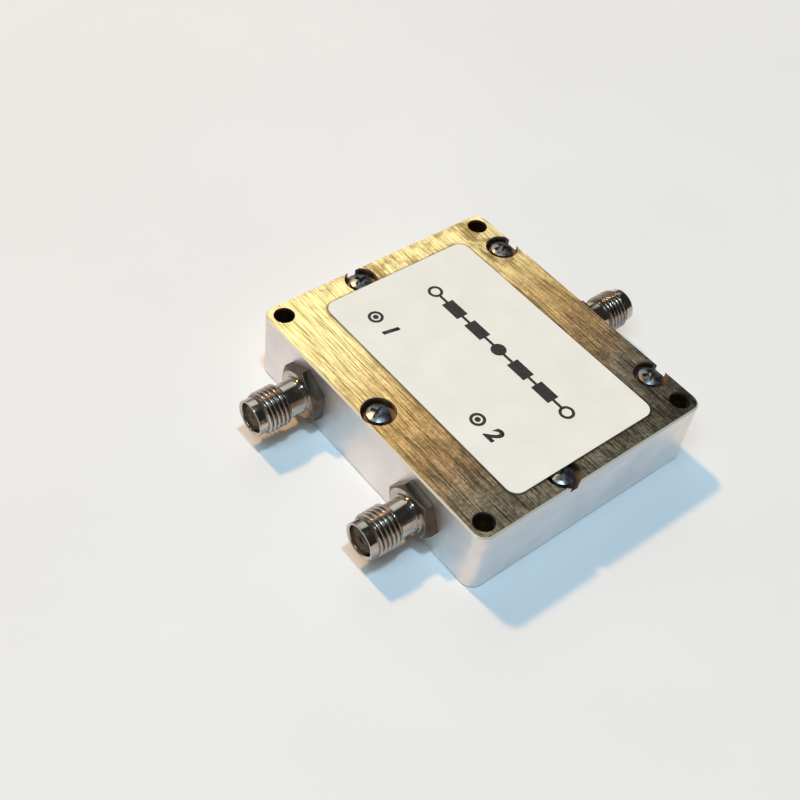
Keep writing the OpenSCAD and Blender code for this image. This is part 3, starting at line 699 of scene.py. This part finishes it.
# the two ends are rings, the middle is a dot, and two filled blocks stand for the sections on either side
diagram = bmesh.new()
lineY = printShape["lineY"]
lineLeft, lineRight = printShape["lineLeft"], printShape["lineRight"]
halfLong, halfHigh = printShape["blockSize"][0] / 2, printShape["blockSize"][1] / 2
middle = (lineLeft + lineRight) / 2
stops = [(lineLeft, ring)] + [(x, halfLong) for x in printShape["blocks"]] + [(lineRight, ring)]
stops.insert(3, (middle, printShape["hub"]))
for (x, half), (nextX, nextHalf) in zip(stops, stops[1:]):
    left, right = x + half, nextX - nextHalf
    addPlate(diagram, [(left, lineY - stroke / 2), (right, lineY - stroke / 2),
                       (right, lineY + stroke / 2), (left, lineY + stroke / 2)], labelTop, inkTop)
for x in printShape["blocks"]:
    addPlate(diagram, [(x - halfLong, lineY - halfHigh), (x + halfLong, lineY - halfHigh),
                       (x + halfLong, lineY + halfHigh), (x - halfLong, lineY + halfHigh)], labelTop, inkTop)
addDot(diagram, middle, lineY, printShape["hub"], labelTop, inkTop)
for x in (lineLeft, lineRight):
    addRing(diagram, x, lineY, ring, ring - stroke, labelTop, inkTop)
printedPiece("splitter_diagram", diagram)
print("label printed")

# Floor, lamps and camera

stageLook = {"floor": "#EAE9E9", "floorShade": "#E6E5E5", "size": 6.0, "backdrop": "#E4E3E1",
             "room": "#3A3836", "front": "#B0ADA9", "frontToward": (-0.75, -0.66, 0.0),
             "frontEdge": (0.0, 0.6), "frontTop": (0.6, 0.1),
             "pane": "#F4FFFA", "paneToward": (-0.66, 0.38, 0.65), "paneEdge": (0.9, 0.98),
             "backdropTop": (0.15, 0.05)}
floorMesh = bpy.data.meshes.new("floor")
halfSize = stageLook["size"] / 2
floorMesh.from_pydata([(-halfSize, -halfSize, 0), (halfSize, -halfSize, 0),
                       (halfSize, halfSize, 0), (-halfSize, halfSize, 0)], [], [(0, 1, 2, 3)])
floor = bpy.data.objects.new("floor", floorMesh)
bpy.context.scene.collection.objects.link(floor)
# Pale table: plain and matt
floorMesh.materials.append(driftingFinish("paleTable", {
    "low": stageLook["floorShade"], "high": stageLook["floor"], "roughness": (0.55, 0.65),
    "patch": 60.0, "grain": 0.5, "bump": 0.02, "metallic": 0.0, "specular": 0.2}))

# lamps by the direction in which they stand, with the light that they give at the object
lamps = {
    "warmKey": {"toward": (-0.574, -0.058, 0.817), "away": 3.5,
                "size": 0.29, "colour": "#FFC985", "light": 1.75},
    "coolTop": {"toward": (0.13, -0.03, 0.99), "away": 3.0,
                "size": 0.3, "colour": "#BCE0FA", "light": 1.43},
    "coolFill": {"toward": (0.1, -0.4, 0.91), "away": 3.5,
                 "size": 2.2, "colour": "#CEF1FF", "light": 1.2}}
for name, lamp in lamps.items():
    light = bpy.data.lights.new(name, "AREA")
    light.shape = "DISK"
    light.size = lamp["size"]
    light.color = toLinear(lamp["colour"])[:3]
    light.energy = lamp["light"] * math.pi * lamp["away"] ** 2
    holder = bpy.data.objects.new(name, light)
    toward = Vector(lamp["toward"]).normalized()
    holder.location = toward * lamp["away"]
    holder.rotation_euler = toward.to_track_quat("Z", "Y").to_euler()
    bpy.context.scene.collection.objects.link(holder)

# the room: dim behind the object, paler in front of it, with a soft bright pane that the lid mirrors
# and a pale backdrop low all round
world = bpy.data.worlds.new("room")
bpy.context.scene.world = world
world.use_nodes = True
room = world.node_tree
ahead = addNode(room, "ShaderNodeTexCoord")
aheadParts = addNode(room, "ShaderNodeSeparateXYZ", {}, {0: ahead.outputs["Generated"]})
slantwise = addNode(room, "ShaderNodeVectorMath", {"operation": "DOT_PRODUCT"},
                    {0: ahead.outputs["Generated"], 1: stageLook["frontToward"]})
inFront = addNode(room, "ShaderNodeMapRange", {"interpolation_type": "SMOOTHSTEP"},
                  {"Value": slantwise.outputs["Value"], "From Min": stageLook["frontEdge"][0],
                   "From Max": stageLook["frontEdge"][1]})
nearGround = addNode(room, "ShaderNodeMapRange", {"interpolation_type": "SMOOTHSTEP"},
                     {"Value": aheadParts.outputs[2], "From Min": stageLook["frontTop"][0],
                      "From Max": stageLook["frontTop"][1]})
glow = addNode(room, "ShaderNodeMath", {"operation": "MULTIPLY"},
               {0: inFront.outputs[0], 1: nearGround.outputs[0]})
walls = addNode(room, "ShaderNodeMix", {"data_type": "RGBA"},
                {0: glow.outputs[0], 6: toLinear(stageLook["room"]), 7: toLinear(stageLook["front"])})
towardPane = addNode(room, "ShaderNodeVectorMath", {"operation": "DOT_PRODUCT"},
                     {0: ahead.outputs["Generated"], 1: stageLook["paneToward"]})
inPane = addNode(room, "ShaderNodeMapRange", {"interpolation_type": "SMOOTHSTEP"},
                 {"Value": towardPane.outputs["Value"], "From Min": stageLook["paneEdge"][0],
                  "From Max": stageLook["paneEdge"][1]})
lit = addNode(room, "ShaderNodeMix", {"data_type": "RGBA"},
              {0: inPane.outputs[0], 6: walls.outputs[2], 7: toLinear(stageLook["pane"])})
lowDown = addNode(room, "ShaderNodeMapRange", {"interpolation_type": "SMOOTHSTEP"},
                  {"Value": aheadParts.outputs[2], "From Min": stageLook["backdropTop"][0],
                   "From Max": stageLook["backdropTop"][1]})
sky = addNode(room, "ShaderNodeMix", {"data_type": "RGBA"},
              {0: lowDown.outputs[0], 6: lit.outputs[2], 7: toLinear(stageLook["backdrop"])})
room.links.new(sky.outputs[2], room.nodes["Background"].inputs["Color"])

# camera at the photograph's angle: the view is fitted to the box's edges and holes
view = {"lens": 53.448, "azimuth": 44.957, "elevation": 48.12, "roll": -8.694,
        "distance": 181.494, "target": (-7.3045, -7.7371, 0.0)}
azimuth, elevation, roll = (math.radians(view[k]) for k in ("azimuth", "elevation", "roll"))
backward = Vector((math.sin(azimuth) * math.cos(elevation),
                   -math.cos(azimuth) * math.cos(elevation), math.sin(elevation)))
level = backward.cross(Vector((0, 0, -1))).normalized()
down = (-backward).cross(level)
right = level * math.cos(roll) + down * math.sin(roll)
upward = level * math.sin(roll) - down * math.cos(roll)
camera = bpy.data.objects.new("camera", bpy.data.cameras.new("camera"))
camera.data.sensor_width = 36.0
camera.data.lens = view["lens"]
camera.data.clip_start = 0.005
camera.data.clip_end = 20.0
camera.matrix_world = (Matrix.Translation((Vector(view["target"]) + backward * view["distance"]) * mm)
                       @ Matrix((right, upward, backward)).transposed().to_4x4())
bpy.context.scene.collection.objects.link(camera)
bpy.context.scene.camera = camera
bpy.context.scene.view_settings.view_transform = "Standard"
print("floor, lamps and camera set")
